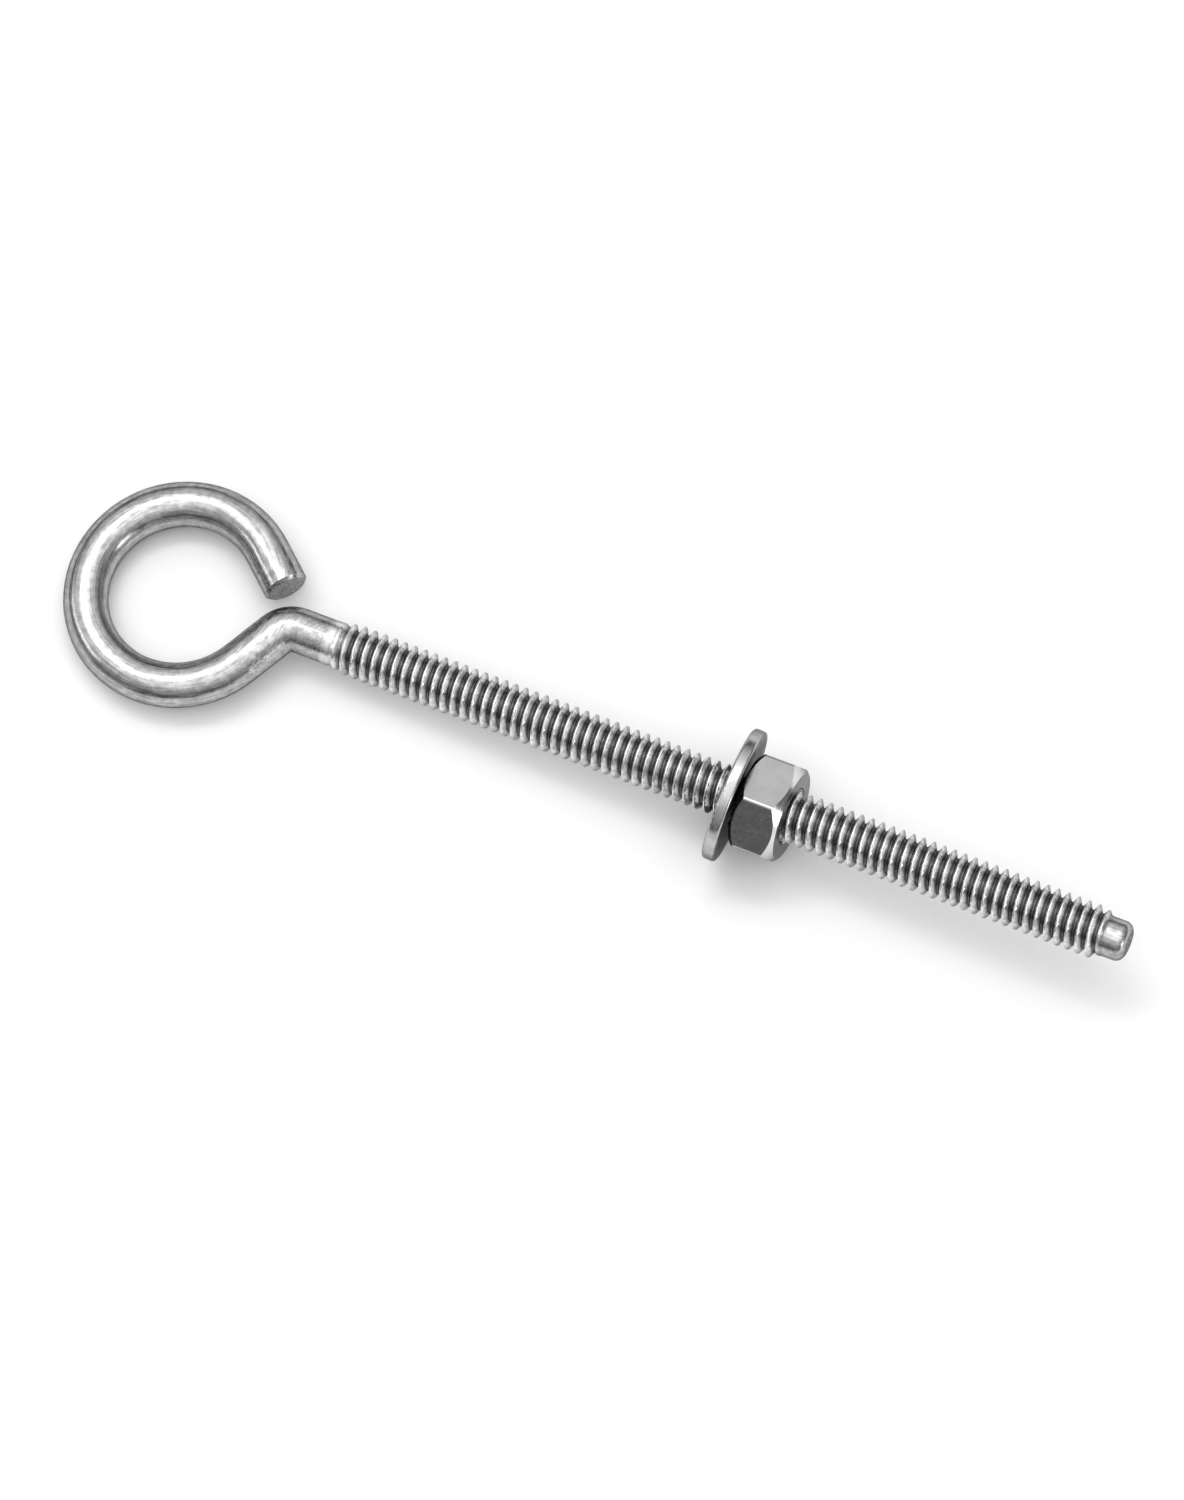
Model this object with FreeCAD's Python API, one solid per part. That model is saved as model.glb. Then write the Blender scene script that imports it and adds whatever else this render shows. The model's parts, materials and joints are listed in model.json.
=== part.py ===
"""Turned eye bolt, machine threaded, with its hex nut and flat washer.

The rod lies flat: the shank runs along +X, the eye lies in the XY plane and +Z is up.
The origin is the centre of the eye. Lengths are in millimetres, angles in degrees.
"""
import FreeCAD, Part
import math
import os

# Rod and eye
WIRE_DIAMETER = 5.25
EYE_INSIDE_DIAMETER = 17.0
# Where the round part of the eye ends, measured from the shank's direction on each side.
FREE_END_ANGLE = 50.0
NECK_ANGLE = 28.0
FREE_END_TAIL = 5.3
FREE_END_BEVEL = 0.35
# The reverse bend between the eye and the shank, on the inside of the bend
NECK_BEND_INSIDE_RADIUS = 0.175
# The shank's axis passes this far from the eye's centre, on the side of the free end.
SHANK_OFFSET = 1.0
PLAIN_NECK_LENGTH = 4.2

# Screw thread, 1/4 in 20 threads per inch, rolled
THREAD_PITCH = 1.27
THREAD_MAJOR_DIAMETER = 6.1
FLANK_ANGLE = 30.0
# Flat tops and bottoms of the thread, as the thread form's shares of the pitch
CREST_SHARE = 0.1
ROOT_SHARE = 0.2
ROOT_HOLLOW = 0.04
THREADED_LENGTH = 99.0
THREAD_START_FADE = 2.6
THREAD_END_FADE = 1.5
# The nose is this much thicker than the bottom of the thread.
NOSE_OVER_ROOT = 0.14
NOSE_ROUNDING = 1.1

# Hex nut
NUT_ACROSS_FLATS = 11.1
NUT_THICKNESS = 5.56
# The round face at each end is this much smaller than the width across the flats.
NUT_FACE_STEP = 0.7
NUT_CHAMFER_ANGLE = 42.0
NUT_CORNER_ROUNDING = 0.45
NUT_COUNTERSINK_DEPTH = 0.75
# From the start of the thread to the nut's washer side
NUT_POSITION = 52.0
# A corner of the hexagon points this far from +Z, towards -Y.
NUT_TURN = 15.5

# Flat washer, standing loose on the shank
WASHER_OUTSIDE_DIAMETER = 15.9
WASHER_THICKNESS = 1.5
WASHER_EDGE_ROUNDING = 0.35
WASHER_HOLE_ROUNDING = 0.25
# Its upper edge leans this far towards the nut.
WASHER_LEAN = 7.0

# Clearances: between the threads, between the washer and the nut's face, and how much
# wider than the thread the nut's countersinks and the washer's hole are.
THREAD_CLEARANCE = 0.16
WASHER_TO_NUT = 0.1
COUNTERSINK_OVER_THREAD = 0.8
WASHER_HOLE_OVER_THREAD = 1.05

# Fineness of the thread's surface, and how many faces make up each turn
STEPS_PER_TURN = 24
STEPS_ON_FLANK = 4
SECTORS = 4

# Lengths closer than this are the same.
SAME_LENGTH = 1e-6

WIRE_RADIUS = WIRE_DIAMETER / 2
EYE_RADIUS = (EYE_INSIDE_DIAMETER + WIRE_DIAMETER) / 2
NECK_BEND_RADIUS = NECK_BEND_INSIDE_RADIUS + WIRE_RADIUS
CREST_RADIUS = THREAD_MAJOR_DIAMETER / 2
FLANK_SLOPE = math.tan(math.radians(FLANK_ANGLE))
FLANK_WIDTH = THREAD_PITCH * (1 - CREST_SHARE - ROOT_SHARE) / 2
THREAD_DEPTH = FLANK_WIDTH / FLANK_SLOPE
NOSE_RADIUS = CREST_RADIUS - THREAD_DEPTH + NOSE_OVER_ROOT / 2
NUT_FACE_RADIUS = (NUT_ACROSS_FLATS - NUT_FACE_STEP) / 2
COUNTERSINK_RADIUS = (THREAD_MAJOR_DIAMETER + COUNTERSINK_OVER_THREAD) / 2
WASHER_OUTSIDE_RADIUS = WASHER_OUTSIDE_DIAMETER / 2
WASHER_HOLE_RADIUS = (THREAD_MAJOR_DIAMETER + WASHER_HOLE_OVER_THREAD) / 2

X_AXIS = FreeCAD.Vector(1, 0, 0)
Y_AXIS = FreeCAD.Vector(0, 1, 0)
Z_AXIS = FreeCAD.Vector(0, 0, 1)
EYE_CENTRE = FreeCAD.Vector(0, 0, 0)


def on_circle(angle):
    """Unit vector in the XY plane at an angle from +X."""
    turn = math.radians(angle)
    return FreeCAD.Vector(math.cos(turn), math.sin(turn), 0)


def wire_section(centre, heading):
    """Round section of the wire, square to its heading."""
    circle = Part.Circle(centre, heading, WIRE_RADIUS)
    return Part.Face(Part.Wire(circle.toShape()))


def neck_points():
    """Where the eye turns straight, where the reverse bend starts, its centre and its end."""
    lean = math.radians(NECK_ANGLE)
    leaves_eye = on_circle(-NECK_ANGLE) * EYE_RADIUS
    heading = on_circle(90 - NECK_ANGLE)
    drop = NECK_BEND_RADIUS * (1 - math.sin(lean))
    straight = (SHANK_OFFSET - leaves_eye.y - drop) / math.cos(lean)
    bend_start = leaves_eye + heading * straight
    bend_centre = bend_start + on_circle(-NECK_ANGLE) * NECK_BEND_RADIUS
    bend_end = bend_centre + Y_AXIS * NECK_BEND_RADIUS
    return leaves_eye, heading, bend_start, bend_centre, bend_end


NECK_END = neck_points()[-1]
THREAD_START = NECK_END.x + PLAIN_NECK_LENGTH
ROD_END = THREAD_START + THREADED_LENGTH
# The thread's surface is a whole number of turns that ends where the nose is rounded off.
NOSE_START = ROD_END - NOSE_ROUNDING
THREAD_TURNS = math.ceil((NOSE_START - THREAD_START) / THREAD_PITCH)
HELIX_START = NOSE_START - THREAD_PITCH * (THREAD_TURNS + 1)
THREAD_END = NOSE_START - THREAD_PITCH
NUT_START = THREAD_START + NUT_POSITION
NUT_END = NUT_START + NUT_THICKNESS


def on_shank(x):
    return FreeCAD.Vector(x, SHANK_OFFSET, 0)


def around_shank(x, radius, turns):
    """Point around the shank's axis, starting at the top and turning right-handed about +X."""
    angle = 2 * math.pi * turns
    return on_shank(x) + (Z_AXIS * math.cos(angle) - Y_AXIS * math.sin(angle)) * radius


def eye_and_neck():
    """Eye with its free end, the reverse bend and the plain neck, as one round wire."""
    free_end = on_circle(FREE_END_ANGLE) * EYE_RADIUS
    outwards = on_circle(FREE_END_ANGLE - 90)
    tail_length = FREE_END_TAIL - FREE_END_BEVEL
    tail = wire_section(free_end, outwards).extrude(outwards * tail_length)
    bevel = Part.makeCone(
        WIRE_RADIUS,
        WIRE_RADIUS - FREE_END_BEVEL,
        FREE_END_BEVEL,
        free_end + outwards * tail_length,
        outwards,
    )
    round_part = 360 - FREE_END_ANGLE - NECK_ANGLE
    eye = wire_section(free_end, outwards).revolve(EYE_CENTRE, Z_AXIS, round_part)

    leaves_eye, heading, bend_start, bend_centre, bend_end = neck_points()
    rise = wire_section(leaves_eye, heading).extrude(bend_start - leaves_eye)
    bend = wire_section(bend_start, heading).revolve(
        bend_centre, Z_AXIS, NECK_ANGLE - 90
    )
    neck = wire_section(bend_end, X_AXIS).extrude(X_AXIS * (HELIX_START - bend_end.x))
    return [bevel, tail, eye, rise, bend, neck]


def thread_profile(gap):
    """One pitch of thread from root to root, as pairs of axial share and radius.

    The gap moves the whole profile outwards, for the thread inside the nut.
    """
    widening = gap * (1 / math.cos(math.radians(FLANK_ANGLE)) - FLANK_SLOPE)
    crest_edge = THREAD_PITCH * CREST_SHARE / 2 + widening
    crest = CREST_RADIUS + gap
    root = crest - THREAD_DEPTH
    side = [(THREAD_PITCH / 2, root - ROOT_HOLLOW)]
    for step in range(STEPS_ON_FLANK + 1):
        share = step / STEPS_ON_FLANK
        side.append((crest_edge + FLANK_WIDTH * (1 - share), root + THREAD_DEPTH * share))
    rising = [(0.5 - offset / THREAD_PITCH, radius) for offset, radius in side]
    falling = [(0.5 + offset / THREAD_PITCH, radius) for offset, radius in side]
    return rising + [(0.5, crest)] + falling[::-1]


def smooth(share):
    """Smooth step from 0 to 1."""
    share = min(max(share, 0.0), 1.0)
    return share * share * (3 - 2 * share)


def spline(points, parameters):
    """Smooth curve through points, with its parameters given."""
    curve = Part.BSplineCurve()
    curve.interpolate(Points=points, Parameters=parameters)
    return curve


def spline_surface(grid, row_parameters, column_parameters):
    """Smooth surface through a grid of points, whose edges depend on the outer points only."""
    rows = [spline(row, row_parameters) for row in grid]
    columns = [
        spline(list(column), column_parameters)
        for column in zip(*[row.getPoles() for row in rows])
    ]
    surface = Part.BSplineSurface()
    surface.buildFromPolesMultsKnots(
        list(zip(*[column.getPoles() for column in columns])),
        columns[0].getMultiplicities(),
        rows[0].getMultiplicities(),
        columns[0].getKnots(),
        rows[0].getKnots(),
        False,
        False,
        columns[0].Degree,
        rows[0].Degree,
    )
    return surface


def thread_face(helix_start, turned, profile, radius_at):
    """Part of a turn of thread, from its root to the next, as one surface.

    turned lists how far its rows have turned about the shank since helix_start.
    """
    grid = []
    for turn in turned:
        row = []
        for share, radius in profile:
            x = helix_start + THREAD_PITCH * (turn + share)
            row.append(around_shank(x, radius_at(x, radius), turn))
        grid.append(row)
    shares = [share for share, radius in profile]
    return spline_surface(grid, shares, turned).toShape()


def end_faces(flat_x, helix_x, radius):
    """Flat end of a threaded round, and the plain strip between it and the first helix."""
    strips = []
    rim = []
    for sector in range(SECTORS):
        turned = sector_turns(sector)
        points = [
            around_shank(helix_x + THREAD_PITCH * turn, radius, turn) for turn in turned
        ]
        middle = around_shank(flat_x, radius, (turned[0] + turned[-1]) / 2)
        arc_ends = [around_shank(flat_x, radius, turn) for turn in (turned[0], turned[-1])]
        arc = Part.Arc(arc_ends[0], middle, arc_ends[1]).toShape()
        rim.append(arc)
        strips.append(Part.makeRuledSurface(arc, spline(points, turned).toShape()))
    return strips + [Part.Face(Part.Wire(rim))]


def sector_turns(sector):
    steps = STEPS_PER_TURN // SECTORS
    return [(sector + step / steps) / SECTORS for step in range(steps + 1)]


def threaded_round(start, turns, profile, start_radius, end_radius, radius_at):
    """Solid round with a thread, flat at both ends.

    Its first and last turns are plain: there radius_at gives the radius of that end.
    """
    last_helix = start + THREAD_PITCH * turns
    faces = end_faces(start, start, start_radius)
    for sector in range(turns * SECTORS):
        faces.append(thread_face(start, sector_turns(sector), profile, radius_at))
    faces += end_faces(last_helix + THREAD_PITCH, last_helix, end_radius)
    shell = Part.makeShell(faces)
    shell.sewShape()
    return Part.makeSolid(shell)


def revolve_about_shank(outline):
    """Solid of revolution about the shank, from the edges of a closed outline beside it."""
    face = Part.Face(Part.Wire(outline))
    return face.revolve(on_shank(0), X_AXIS, 360)


def beside_shank(x, radius):
    return FreeCAD.Vector(x, SHANK_OFFSET + radius, 0)


def polyline(points):
    return [Part.makeLine(a, b) for a, b in zip(points, points[1:])]


def nose():
    """Rounded nose at the end of the rod."""
    corner = beside_shank(NOSE_START, NOSE_RADIUS)
    rim = beside_shank(ROD_END, NOSE_RADIUS - NOSE_ROUNDING)
    diagonal = NOSE_ROUNDING * math.sqrt(0.5)
    middle = beside_shank(NOSE_START + diagonal, NOSE_RADIUS - NOSE_ROUNDING + diagonal)
    straight = polyline(
        [rim, beside_shank(ROD_END, 0), beside_shank(NOSE_START, 0), corner]
    )
    return revolve_about_shank(straight + [Part.Arc(corner, middle, rim).toShape()])


def threaded_shank():
    """Threaded length of the rod, with the thread fading in and out."""

    def radius_at(x, radius):
        fade_in = smooth((x - THREAD_START) / THREAD_START_FADE)
        fade_out = smooth((THREAD_END - x) / THREAD_END_FADE)
        radius = WIRE_RADIUS + (radius - WIRE_RADIUS) * fade_in
        return NOSE_RADIUS + (radius - NOSE_RADIUS) * fade_out

    profile = thread_profile(0)
    ends = WIRE_RADIUS, NOSE_RADIUS
    return threaded_round(HELIX_START, THREAD_TURNS, profile, *ends, radius_at)


def eye_bolt():
    pieces = eye_and_neck()
    return pieces[0].multiFuse(pieces[1:] + [threaded_shank(), nose()])


def nut_tap():
    """Threaded round that the nut's hole is cut with, with its countersinks."""
    turns_before = math.floor((NUT_START - HELIX_START) / THREAD_PITCH) - 1
    start = HELIX_START + THREAD_PITCH * turns_before
    turns = math.ceil((NUT_END - start) / THREAD_PITCH)

    def radius_at(x, radius):
        depth = smooth(min(x - NUT_START, NUT_END - x) / NUT_COUNTERSINK_DEPTH)
        return COUNTERSINK_RADIUS + (radius - COUNTERSINK_RADIUS) * depth

    profile = thread_profile(THREAD_CLEARANCE)
    ends = COUNTERSINK_RADIUS, COUNTERSINK_RADIUS
    return threaded_round(start, turns, profile, *ends, radius_at)


def nut_body():
    """Hexagon with its corners rounded and both ends turned to a cone."""
    corner_radius = NUT_ACROSS_FLATS / 2 / math.cos(math.radians(30))
    corners = [
        around_shank(NUT_START, corner_radius, NUT_TURN / 360 + corner / 6)
        for corner in range(7)
    ]
    prism = Part.Face(Part.Wire(polyline(corners))).extrude(X_AXIS * NUT_THICKNESS)
    long_edges = [
        edge
        for edge in prism.Edges
        if abs(edge.BoundBox.XLength - NUT_THICKNESS) < SAME_LENGTH
    ]
    body = prism.makeFillet(NUT_CORNER_ROUNDING, long_edges)
    slope = math.tan(math.radians(NUT_CHAMFER_ANGLE))
    middle = (NUT_START + NUT_END) / 2
    middle_radius = NUT_FACE_RADIUS + NUT_THICKNESS / 2 / slope
    outline = [
        beside_shank(NUT_START, 0),
        beside_shank(NUT_START, NUT_FACE_RADIUS),
        beside_shank(middle, middle_radius),
        beside_shank(NUT_END, NUT_FACE_RADIUS),
        beside_shank(NUT_END, 0),
        beside_shank(NUT_START, 0),
    ]
    return body.common(revolve_about_shank(polyline(outline)))


def hex_nut():
    return nut_body().cut(nut_tap())


def rims(ring, radius):
    """Round edges of a ring that have this radius."""
    return [
        edge
        for edge in ring.Edges
        if edge.Closed and abs(edge.Curve.Radius - radius) < SAME_LENGTH
    ]


def flat_washer():
    """Washer with rounded edges, its upper edge leaning towards the nut."""
    back = on_shank(-WASHER_THICKNESS / 2)
    disc = Part.makeCylinder(WASHER_OUTSIDE_RADIUS, WASHER_THICKNESS, back, X_AXIS)
    bore = Part.makeCylinder(WASHER_HOLE_RADIUS, WASHER_THICKNESS, back, X_AXIS)
    ring = disc.cut(bore)
    ring = ring.makeFillet(WASHER_EDGE_ROUNDING, rims(ring, WASHER_OUTSIDE_RADIUS))
    ring = ring.makeFillet(WASHER_HOLE_ROUNDING, rims(ring, WASHER_HOLE_RADIUS))
    ring.rotate(on_shank(0), Y_AXIS, WASHER_LEAN)
    ring.translate(X_AXIS * washer_centre())
    return ring


def washer_centre():
    """Where the leaning washer comes to the edge of the nut's face."""
    lean = math.radians(WASHER_LEAN)
    half = WASHER_THICKNESS / 2
    reach = (NUT_FACE_RADIUS + half * math.sin(lean)) / math.cos(lean)
    return NUT_START - WASHER_TO_NUT - half * math.cos(lean) - reach * math.sin(lean)


NODES = {
    "eye_bolt": eye_bolt,
    "flat_washer": flat_washer,
    "hex_nut": hex_nut,
}


def main():
    os.makedirs("parts", exist_ok=True)
    for name, make in NODES.items():
        shape = make()
        print(name, "valid", shape.isValid(), "solids", len(shape.Solids), shape.Volume)
        shape.exportStep(os.path.join("parts", name + ".step"))


if __name__ == "__main__":
    main()
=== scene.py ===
"""Looks of the turned eye bolt: polished stainless steel on a plain pale floor.

The frame is the CAD model's: the shank runs along +X from the eye's centre and +Z is square
to the eye. The bolt lies on its eye and on the washer's rim, so the floor is tilted to it.
Lengths are in metres unless a name ends in _MM.
"""
import bpy
import json
import math
from mathutils import Matrix, Vector


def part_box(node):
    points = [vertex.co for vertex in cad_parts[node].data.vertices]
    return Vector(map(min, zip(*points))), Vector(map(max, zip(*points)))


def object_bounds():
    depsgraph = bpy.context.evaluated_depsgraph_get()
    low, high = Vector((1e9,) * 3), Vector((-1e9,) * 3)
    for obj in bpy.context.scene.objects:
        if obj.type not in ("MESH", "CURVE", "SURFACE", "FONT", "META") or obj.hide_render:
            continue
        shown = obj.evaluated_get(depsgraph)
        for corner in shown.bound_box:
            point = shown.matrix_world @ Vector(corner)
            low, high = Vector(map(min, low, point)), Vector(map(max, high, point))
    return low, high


MM = 0.001

# Where the shank points on the floor, from the picture's right towards its back
SHANK_HEADING = math.radians(-25.7)
# Camera's place from the eye's centre: to the picture's right, to its back, and up
CAMERA_OFFSET_MM = (95.0, -349.0, 1004.0)
# The camera is turned this much, so that the shank slopes as it should in the picture.
CAMERA_ROLL = math.radians(-3.0)
LENS_MM = 222.0
SENSOR_MM = 36.0
CLIP_START = 0.01
# The camera looks at this share of the bolt's length from the eye's outer end.
AIM_SHARE = 0.5

FLOOR_HALF_SIZE = 1.5
FLOOR_GAP_MM = 0.02
FLOOR_COLOUR = (0.90, 0.90, 0.90, 1)

# Name, place from the bolt's middle (right, back, up), width and height, and power in watts
SOFTBOXES = (
    ("overhead", (-0.15, 0.30, 0.90), (0.60, 0.16), 1.6),
    ("right", (0.75, -0.58, 0.16), (0.30, 0.26), 1.3),
    ("left", (-0.80, 0.10, 0.40), (0.12, 0.50), 0.6),
)
# Brightness of the surroundings: it goes from the third number to the fourth as the height
# above the floor, or the share that points to the back, goes from the first to the second.
WORLD_STRENGTH = 1.15
WALLS = (0.08, 0.75, 0.09, 0.60)
CEILING = (0.68, 0.97, 0.0, 1.0)
BACK_GLOW = (0.1, 0.7, 0.0, 0.35)
BACK_GLOW_HEIGHTS = (0.2, 0.5, 0.0, 1.0)

ROD_TONE = (0.50, 0.50, 0.496)
WASHER_TONE = (0.50, 0.50, 0.495)
NUT_TONE = (0.43, 0.43, 0.426)
# How much of the light steel sends back at a grazing angle
EDGE_TINT = (0.30, 0.30, 0.30, 1)
# Roughness on the smoothest and on the roughest marks
ROD_ROUGHNESS = (0.18, 0.32)
THREAD_ROUGHNESS = (0.24, 0.34)
WASHER_ROUGHNESS = (0.17, 0.29)
NUT_ROUGHNESS = (0.14, 0.24)
# Most of a noise's values lie between these.
NOISE_RANGE = (0.3, 0.7)
MARKS_PER_METRE = 5200.0
TUMBLING_PER_METRE = 2600.0
MARK_DETAIL = 3.0
TUMBLING_DETAIL = 4.0
MARK_STRETCH = 0.06
RELIEF_STRENGTH = 0.35
RELIEF_MM = 0.005
# Clouds in the tone: how many in a metre, their detail, and their darkest and brightest shade
ROD_CLOUDS = (1400.0, 5.0, 0.78, 1.12)
WASHER_CLOUDS = (500.0, 4.0, 0.82, 1.10)
NUT_CLOUDS = (400.0, 4.0, 0.92, 1.05)
# Shares of the steel's tone: the streaks follow the drawing marks, and the others are painted
# shade and painted highlights
STREAK_SHADES = (0.66, 1.10)
# Painted shade in the thread's roots and painted highlight on its crests
PAINTED_ROOT_SHADE = 0.34
PAINTED_CREST_HIGHLIGHT = 1.60
# Painted shade on the washer towards the nut
PAINTED_SHADE_BY_NUT = 0.25
# Painted highlight on the nut's turned ends and chamfers
PAINTED_HIGHLIGHT_ON_ENDS = 1.60
# Depth of the rolled thread, as a share of its radius at the crests
THREAD_DEPTH_SHARE = 0.25
NOSE_LENGTH_MM = 2.2
# The nut is turned, and its tone gets a painted highlight, where its surface leans this much
# towards the shank's direction.
TURNED_AND_HIGHLIT_LEAN = (0.2, 0.5)


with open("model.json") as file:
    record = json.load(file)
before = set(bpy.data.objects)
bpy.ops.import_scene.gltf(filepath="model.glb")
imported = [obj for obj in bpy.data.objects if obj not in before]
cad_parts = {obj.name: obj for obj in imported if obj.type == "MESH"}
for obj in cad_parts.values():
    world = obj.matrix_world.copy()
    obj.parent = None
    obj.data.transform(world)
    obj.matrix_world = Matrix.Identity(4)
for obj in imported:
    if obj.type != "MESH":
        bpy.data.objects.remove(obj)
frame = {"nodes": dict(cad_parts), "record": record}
cad_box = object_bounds()
mounts = {mount["name"]: mount for mount in frame["record"]["mounts"]}
EYE_INSIDE_RADIUS = mounts["eye"]["dims"]["r_mm"] * MM
WIRE_RADIUS = mounts["eye"]["dims"]["length_mm"] * MM / 2
EYE_RADIUS = EYE_INSIDE_RADIUS + WIRE_RADIUS
CREST_RADIUS = mounts["thread"]["dims"]["r_mm"] * MM
ROOT_RADIUS = CREST_RADIUS * (1 - THREAD_DEPTH_SHARE)
FLANK_RADIUS = (ROOT_RADIUS + CREST_RADIUS) / 2
NUT_RADIUS, WASHER_RADIUS = (
    (high.y - low.y) / 2 for low, high in map(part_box, ("hex_nut", "flat_washer"))
)
THREADED_LENGTH = mounts["thread"]["dims"]["length_mm"] * MM
ROD_END = Vector(mounts["thread"]["pos_m"])
THREAD_START_X = ROD_END.x - THREADED_LENGTH
NOSE_START_X = ROD_END.x - NOSE_LENGTH_MM * MM


class Nodes:
    """Short calls to add and join the nodes of one node tree."""

    def __init__(self, tree):
        self.tree = tree
        tree.nodes.clear()

    def add(self, kind, **settings):
        node = self.tree.nodes.new(kind)
        for name, value in settings.items():
            setattr(node, name, value)
        return node

    def feed(self, socket, value):
        """Join a socket to another one, or set its value."""
        if isinstance(value, bpy.types.NodeSocket):
            self.tree.links.new(value, socket)
        else:
            socket.default_value = value

    def math(self, operation, first, second=0.0, third=0.0):
        node = self.add("ShaderNodeMath", operation=operation)
        for socket, value in zip(node.inputs, (first, second, third)):
            self.feed(socket, value)
        return node.outputs[0]

    def spread(self, value, low, high, to_low, to_high):
        """Value that goes smoothly from to_low to to_high as value goes from low to high."""
        node = self.add("ShaderNodeMapRange", interpolation_type="SMOOTHSTEP")
        for socket, number in zip(node.inputs, (value, low, high, to_low, to_high)):
            self.feed(socket, number)
        return node.outputs[0]

    def length(self, first, second):
        """Distance with these two parts, square to each other."""
        squares = [self.math("MULTIPLY", value, value) for value in (first, second)]
        return self.math("SQRT", self.math("ADD", *squares))

    def blend(self, first, second, share):
        """Value that goes from first to second as share goes from 0 to 1."""
        difference = self.math("SUBTRACT", second, first)
        return self.math("MULTIPLY_ADD", difference, share, first)

    def slow(self, first, second):
        """Coordinate that hardly changes, so that marks are long in its direction."""
        return self.math("MULTIPLY", self.math("ADD", first, second), MARK_STRETCH)

    def noise(self, x, y, z, scale, detail):
        place = self.add("ShaderNodeCombineXYZ")
        for socket, value in zip(place.inputs, (x, y, z)):
            self.feed(socket, value)
        node = self.add("ShaderNodeTexNoise")
        self.feed(node.inputs["Vector"], place.outputs[0])
        node.inputs["Scale"].default_value = scale
        node.inputs["Detail"].default_value = detail
        return node.outputs["Fac"]

    def clouds(self, x, y, z, per_metre, detail, dark, bright):
        noise = self.noise(x, y, z, per_metre, detail)
        return self.spread(noise, *NOISE_RANGE, dark, bright)


def floor_up():
    """Direction square to the floor, and the floor's height along it."""
    washer_low = min(frame["nodes"]["flat_washer"].data.vertices, key=lambda v: v.co.z).co
    eye_low = Vector((-EYE_RADIUS, 0, -WIRE_RADIUS))
    tilt = math.atan2(eye_low.z - washer_low.z, washer_low.x - eye_low.x)
    up = Vector((math.sin(tilt), 0, math.cos(tilt)))
    lowest = min(
        up.dot(vertex.co) for node in frame["nodes"].values() for vertex in node.data.vertices
    )
    return up, lowest - FLOOR_GAP_MM * MM


UP, FLOOR_HEIGHT = floor_up()
ALONG = Vector((UP.z, 0, -UP.x))
ACROSS = UP.cross(ALONG)
RIGHT = ALONG * math.cos(SHANK_HEADING) - ACROSS * math.sin(SHANK_HEADING)
BACK = ALONG * math.sin(SHANK_HEADING) + ACROSS * math.cos(SHANK_HEADING)


def place(right, back, up):
    """Point in the row frame from metres to the picture's right, to its back, and up."""
    return RIGHT * right + BACK * back + UP * up


def looking(location, aim, right):
    """Matrix of a camera or light at a location that looks at aim, level with right."""
    forward = (aim - location).normalized()
    level = (right - forward * right.dot(forward)).normalized()
    columns = (level, level.cross(forward), -forward)
    return Matrix.Translation(location) @ Matrix(columns).transposed().to_4x4()


def make_camera():
    """Camera from above and in front, aimed at the bolt's middle."""
    low, high = cad_box
    aim = Vector((low.x + (high.x - low.x) * AIM_SHARE, (low.y + high.y) / 2, 0))
    data = bpy.data.cameras.new("camera")
    data.lens = LENS_MM
    data.sensor_width = SENSOR_MM
    data.clip_start = CLIP_START
    camera = bpy.data.objects.new("camera", data)
    bpy.context.collection.objects.link(camera)
    level = looking(place(*[v * MM for v in CAMERA_OFFSET_MM]), aim, RIGHT)
    camera.matrix_world = level @ Matrix.Rotation(CAMERA_ROLL, 4, "Z")
    bpy.context.scene.camera = camera


def softbox(name, where, size, power):
    """Square of soft light at (right, back, up) that faces the bolt."""
    data = bpy.data.lights.new(name, "AREA")
    data.shape = "RECTANGLE"
    data.size, data.size_y = size
    data.energy = power
    light = bpy.data.objects.new(name, data)
    bpy.context.collection.objects.link(light)
    aim = (cad_box[0] + cad_box[1]) / 2
    light.matrix_world = looking(aim + place(*where), aim, RIGHT)


def make_world():
    """Soft studio surroundings: bright above, dark low down, and paler behind."""
    world = bpy.data.worlds.new("studio")
    bpy.context.scene.world = world
    world.use_nodes = True
    nodes = Nodes(world.node_tree)
    direction = nodes.add("ShaderNodeTexCoord").outputs["Generated"]

    def along(vector):
        node = nodes.add("ShaderNodeVectorMath", operation="DOT_PRODUCT")
        nodes.feed(node.inputs[0], direction)
        node.inputs[1].default_value = vector
        return node.outputs["Value"]

    height = along(UP)
    walls = nodes.spread(height, *WALLS)
    ceiling = nodes.spread(height, *CEILING)
    behind = nodes.spread(along(BACK), *BACK_GLOW)
    behind = nodes.math("MULTIPLY", behind, nodes.spread(height, *BACK_GLOW_HEIGHTS))
    brightness = nodes.math("ADD", nodes.math("ADD", walls, ceiling), behind)
    background = nodes.add("ShaderNodeBackground")
    nodes.feed(background.inputs["Color"], brightness)
    background.inputs["Strength"].default_value = WORLD_STRENGTH
    output = nodes.add("ShaderNodeOutputWorld")
    nodes.feed(output.inputs["Surface"], background.outputs[0])


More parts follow.
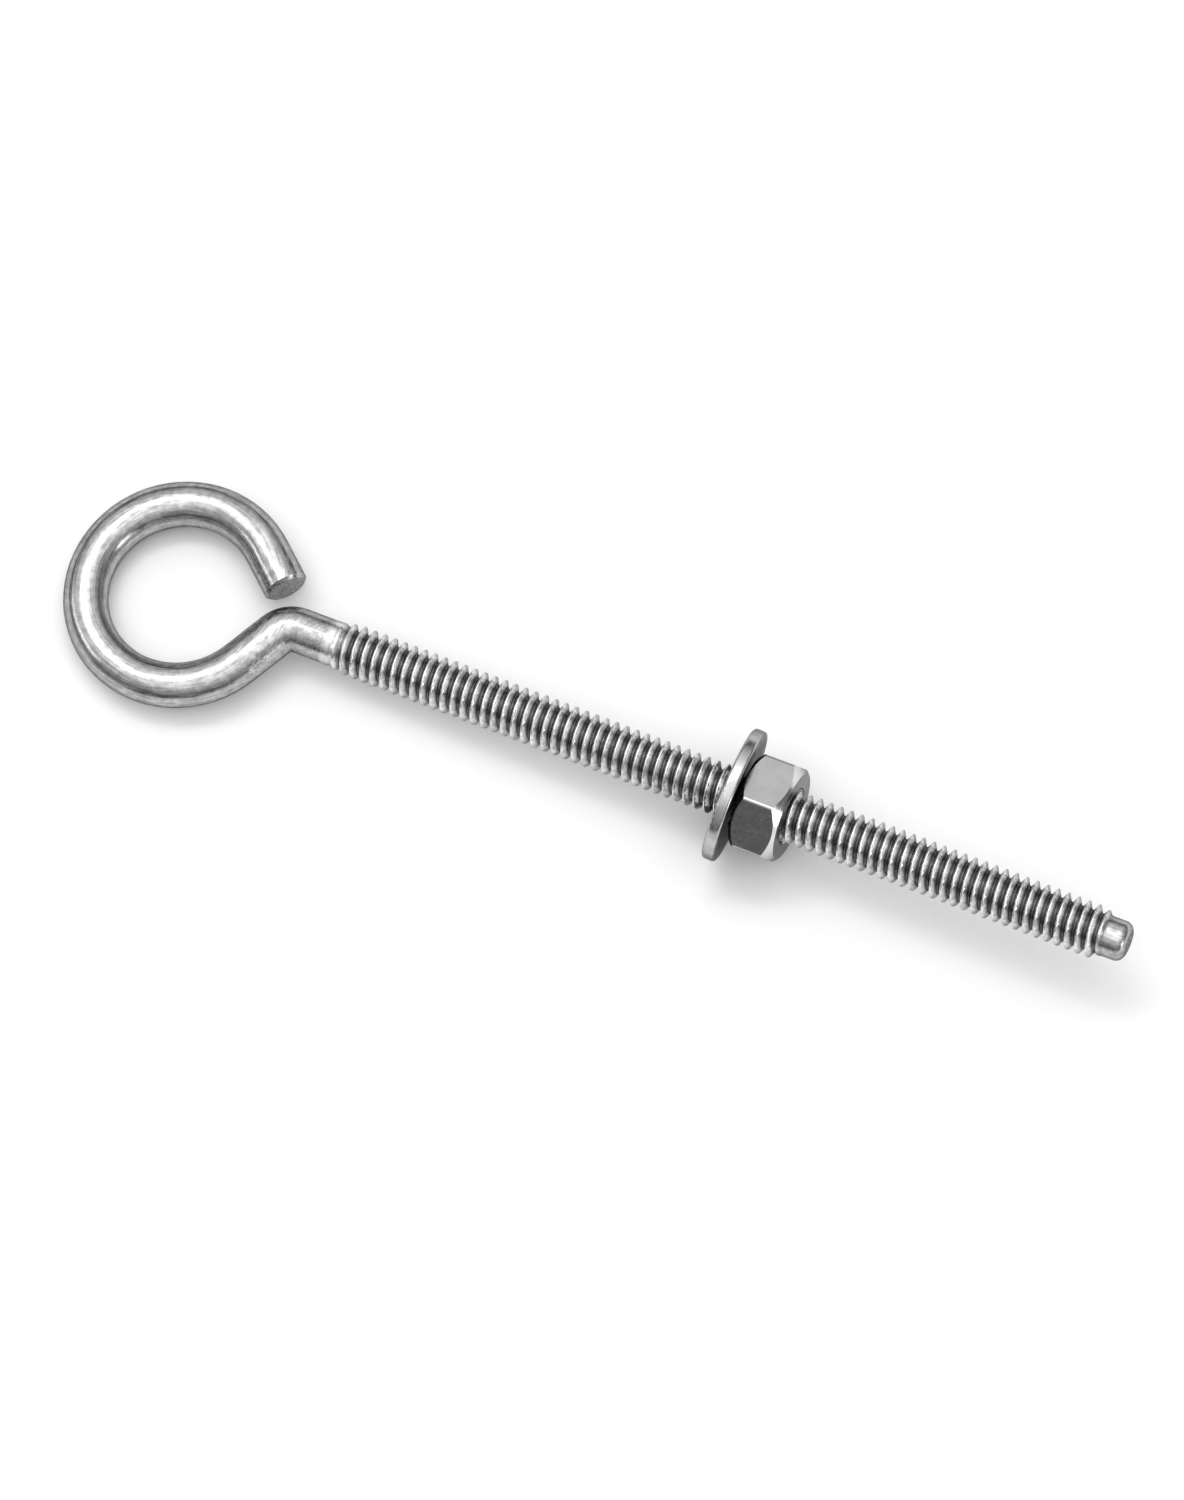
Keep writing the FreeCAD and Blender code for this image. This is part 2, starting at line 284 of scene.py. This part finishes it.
def make_floor():
    """Plain pale sheet under the bolt."""
    corners = [(-1, -1), (1, -1), (1, 1), (-1, 1)]
    centre = UP * FLOOR_HEIGHT
    points = [
        centre + (RIGHT * right + BACK * back) * FLOOR_HALF_SIZE for right, back in corners
    ]
    mesh = bpy.data.meshes.new("floor")
    mesh.from_pydata(points, [], [(0, 1, 2, 3)])
    floor = bpy.data.objects.new("floor", mesh)
    bpy.context.collection.objects.link(floor)
    material = bpy.data.materials.new("floor_paper")
    material.use_nodes = True
    nodes = Nodes(material.node_tree)
    shader = nodes.add("ShaderNodeBsdfDiffuse")
    shader.inputs["Color"].default_value = FLOOR_COLOUR
    output = nodes.add("ShaderNodeOutputMaterial")
    nodes.feed(output.inputs["Surface"], shader.outputs[0])
    mesh.materials.append(material)


def start_material(name):
    """New material, its nodes, and the place on the object.

    The place is x, y, z, and the distance from the shank's axis.
    """
    material = bpy.data.materials.new(name)
    material.use_nodes = True
    nodes = Nodes(material.node_tree)
    split = nodes.add("ShaderNodeSeparateXYZ")
    nodes.feed(split.inputs[0], nodes.add("ShaderNodeTexCoord").outputs["Object"])
    x, y, z = split.outputs
    from_axis = nodes.length(nodes.math("SUBTRACT", y, ROD_END.y), z)
    return material, nodes, (x, y, z, from_axis)


def finish_steel(material, nodes, tone, shade, marks, roughness):
    """Steel with a tone that follows shade, and fine relief that follows marks.

    Roughness is its value on the smoothest and on the roughest marks.
    """
    shader = nodes.add("ShaderNodeBsdfPrincipled")
    shader.inputs["Metallic"].default_value = 1.0
    shader.inputs["Specular Tint"].default_value = EDGE_TINT
    colour = nodes.add("ShaderNodeVectorMath", operation="SCALE")
    colour.inputs[0].default_value = tone
    nodes.feed(colour.inputs["Scale"], shade)
    nodes.feed(shader.inputs["Base Color"], colour.outputs[0])
    share = nodes.spread(marks, *NOISE_RANGE, 0.0, 1.0)
    nodes.feed(shader.inputs["Roughness"], nodes.blend(*roughness, share))
    bump = nodes.add("ShaderNodeBump")
    bump.inputs["Strength"].default_value = RELIEF_STRENGTH
    bump.inputs["Distance"].default_value = RELIEF_MM * MM
    nodes.feed(bump.inputs["Height"], marks)
    nodes.feed(shader.inputs["Normal"], bump.outputs[0])
    output = nodes.add("ShaderNodeOutputMaterial")
    nodes.feed(output.inputs["Surface"], shader.outputs[0])
    return material


def rod_steel():
    """Drawing marks along the bent rod, and a thread with painted shade in its roots and a
    painted highlight on its crests.
    """
    material, nodes, (x, y, z, from_axis) = start_material("rod_steel")

    # Round the eye the marks keep their distance from its centre, along the shank from its axis.
    on_shank = nodes.spread(x, EYE_RADIUS, THREAD_START_X, 0.0, 1.0)
    side = nodes.blend(nodes.length(x, y), y, on_shank)
    drawn = nodes.noise(nodes.slow(x, y), side, z, MARKS_PER_METRE, MARK_DETAIL)
    rolled = nodes.noise(x, from_axis, nodes.slow(y, z), MARKS_PER_METRE, MARK_DETAIL)
    on_thread = nodes.math(
        "MULTIPLY",
        nodes.spread(x, THREAD_START_X - MM, THREAD_START_X, 0.0, 1.0),
        nodes.spread(x, NOSE_START_X - MM, NOSE_START_X, 1.0, 0.0),
    )
    marks = nodes.blend(drawn, rolled, on_thread)

    clouds = nodes.clouds(x, y, z, *ROD_CLOUDS)
    streaks = nodes.spread(marks, *NOISE_RANGE, *STREAK_SHADES)
    # Painted shade in the thread's roots, and painted highlight towards its crests
    painted_thread_light = nodes.spread(from_axis, ROOT_RADIUS, FLANK_RADIUS, PAINTED_ROOT_SHADE, PAINTED_CREST_HIGHLIGHT)
    shade = nodes.math("MULTIPLY", clouds, nodes.blend(streaks, painted_thread_light, on_thread))
    pairs = zip(ROD_ROUGHNESS, THREAD_ROUGHNESS)
    roughness = [nodes.blend(*pair, on_thread) for pair in pairs]
    return finish_steel(material, nodes, ROD_TONE, shade, marks, roughness)


def washer_steel():
    """Tumbled finish, with painted shade that darkens it towards the nut."""
    material, nodes, (x, y, z, from_axis) = start_material("washer_steel")
    marks = nodes.noise(x, y, z, TUMBLING_PER_METRE, TUMBLING_DETAIL)
    clouds = nodes.clouds(x, y, z, *WASHER_CLOUDS)
    # Painted shade on the washer, darker towards the nut
    painted_nut_shade = nodes.spread(from_axis, NUT_RADIUS, WASHER_RADIUS, PAINTED_SHADE_BY_NUT, 1.0)
    shade = nodes.math("MULTIPLY", clouds, painted_nut_shade)
    return finish_steel(material, nodes, WASHER_TONE, shade, marks, WASHER_ROUGHNESS)


def nut_steel():
    """Plain flats, and ends and chamfers with lathe rings and a painted highlight."""
    material, nodes, (x, y, z, from_axis) = start_material("nut_steel")
    normal = nodes.add("ShaderNodeSeparateXYZ")
    nodes.feed(normal.inputs[0], nodes.add("ShaderNodeTexCoord").outputs["Normal"])
    lean = nodes.math("ABSOLUTE", normal.outputs[0])
    # The ends and chamfers get lathe rings and a painted highlight.
    turned_and_highlit = nodes.spread(lean, *TURNED_AND_HIGHLIT_LEAN, 0.0, 1.0)
    plain = nodes.noise(x, y, z, TUMBLING_PER_METRE, TUMBLING_DETAIL)
    rings = nodes.noise(x, from_axis, nodes.slow(y, z), MARKS_PER_METRE, MARK_DETAIL)
    marks = nodes.blend(plain, rings, turned_and_highlit)
    clouds = nodes.clouds(x, y, z, *NUT_CLOUDS)
    # Painted highlight on the ends and chamfers
    shade = nodes.math("MULTIPLY", clouds, nodes.blend(1.0, PAINTED_HIGHLIGHT_ON_ENDS, turned_and_highlit))
    return finish_steel(material, nodes, NUT_TONE, shade, marks, NUT_ROUGHNESS)


def dress(node, material):
    """Give a CAD node its material."""
    for slot in frame["nodes"][node].material_slots:
        slot.link = "OBJECT"
        slot.material = material


bpy.context.scene.view_settings.view_transform = "Standard"
make_camera()
make_world()
make_floor()
for box in SOFTBOXES:
    softbox(*box)
dress("eye_bolt", rod_steel())
dress("flat_washer", washer_steel())
dress("hex_nut", nut_steel())
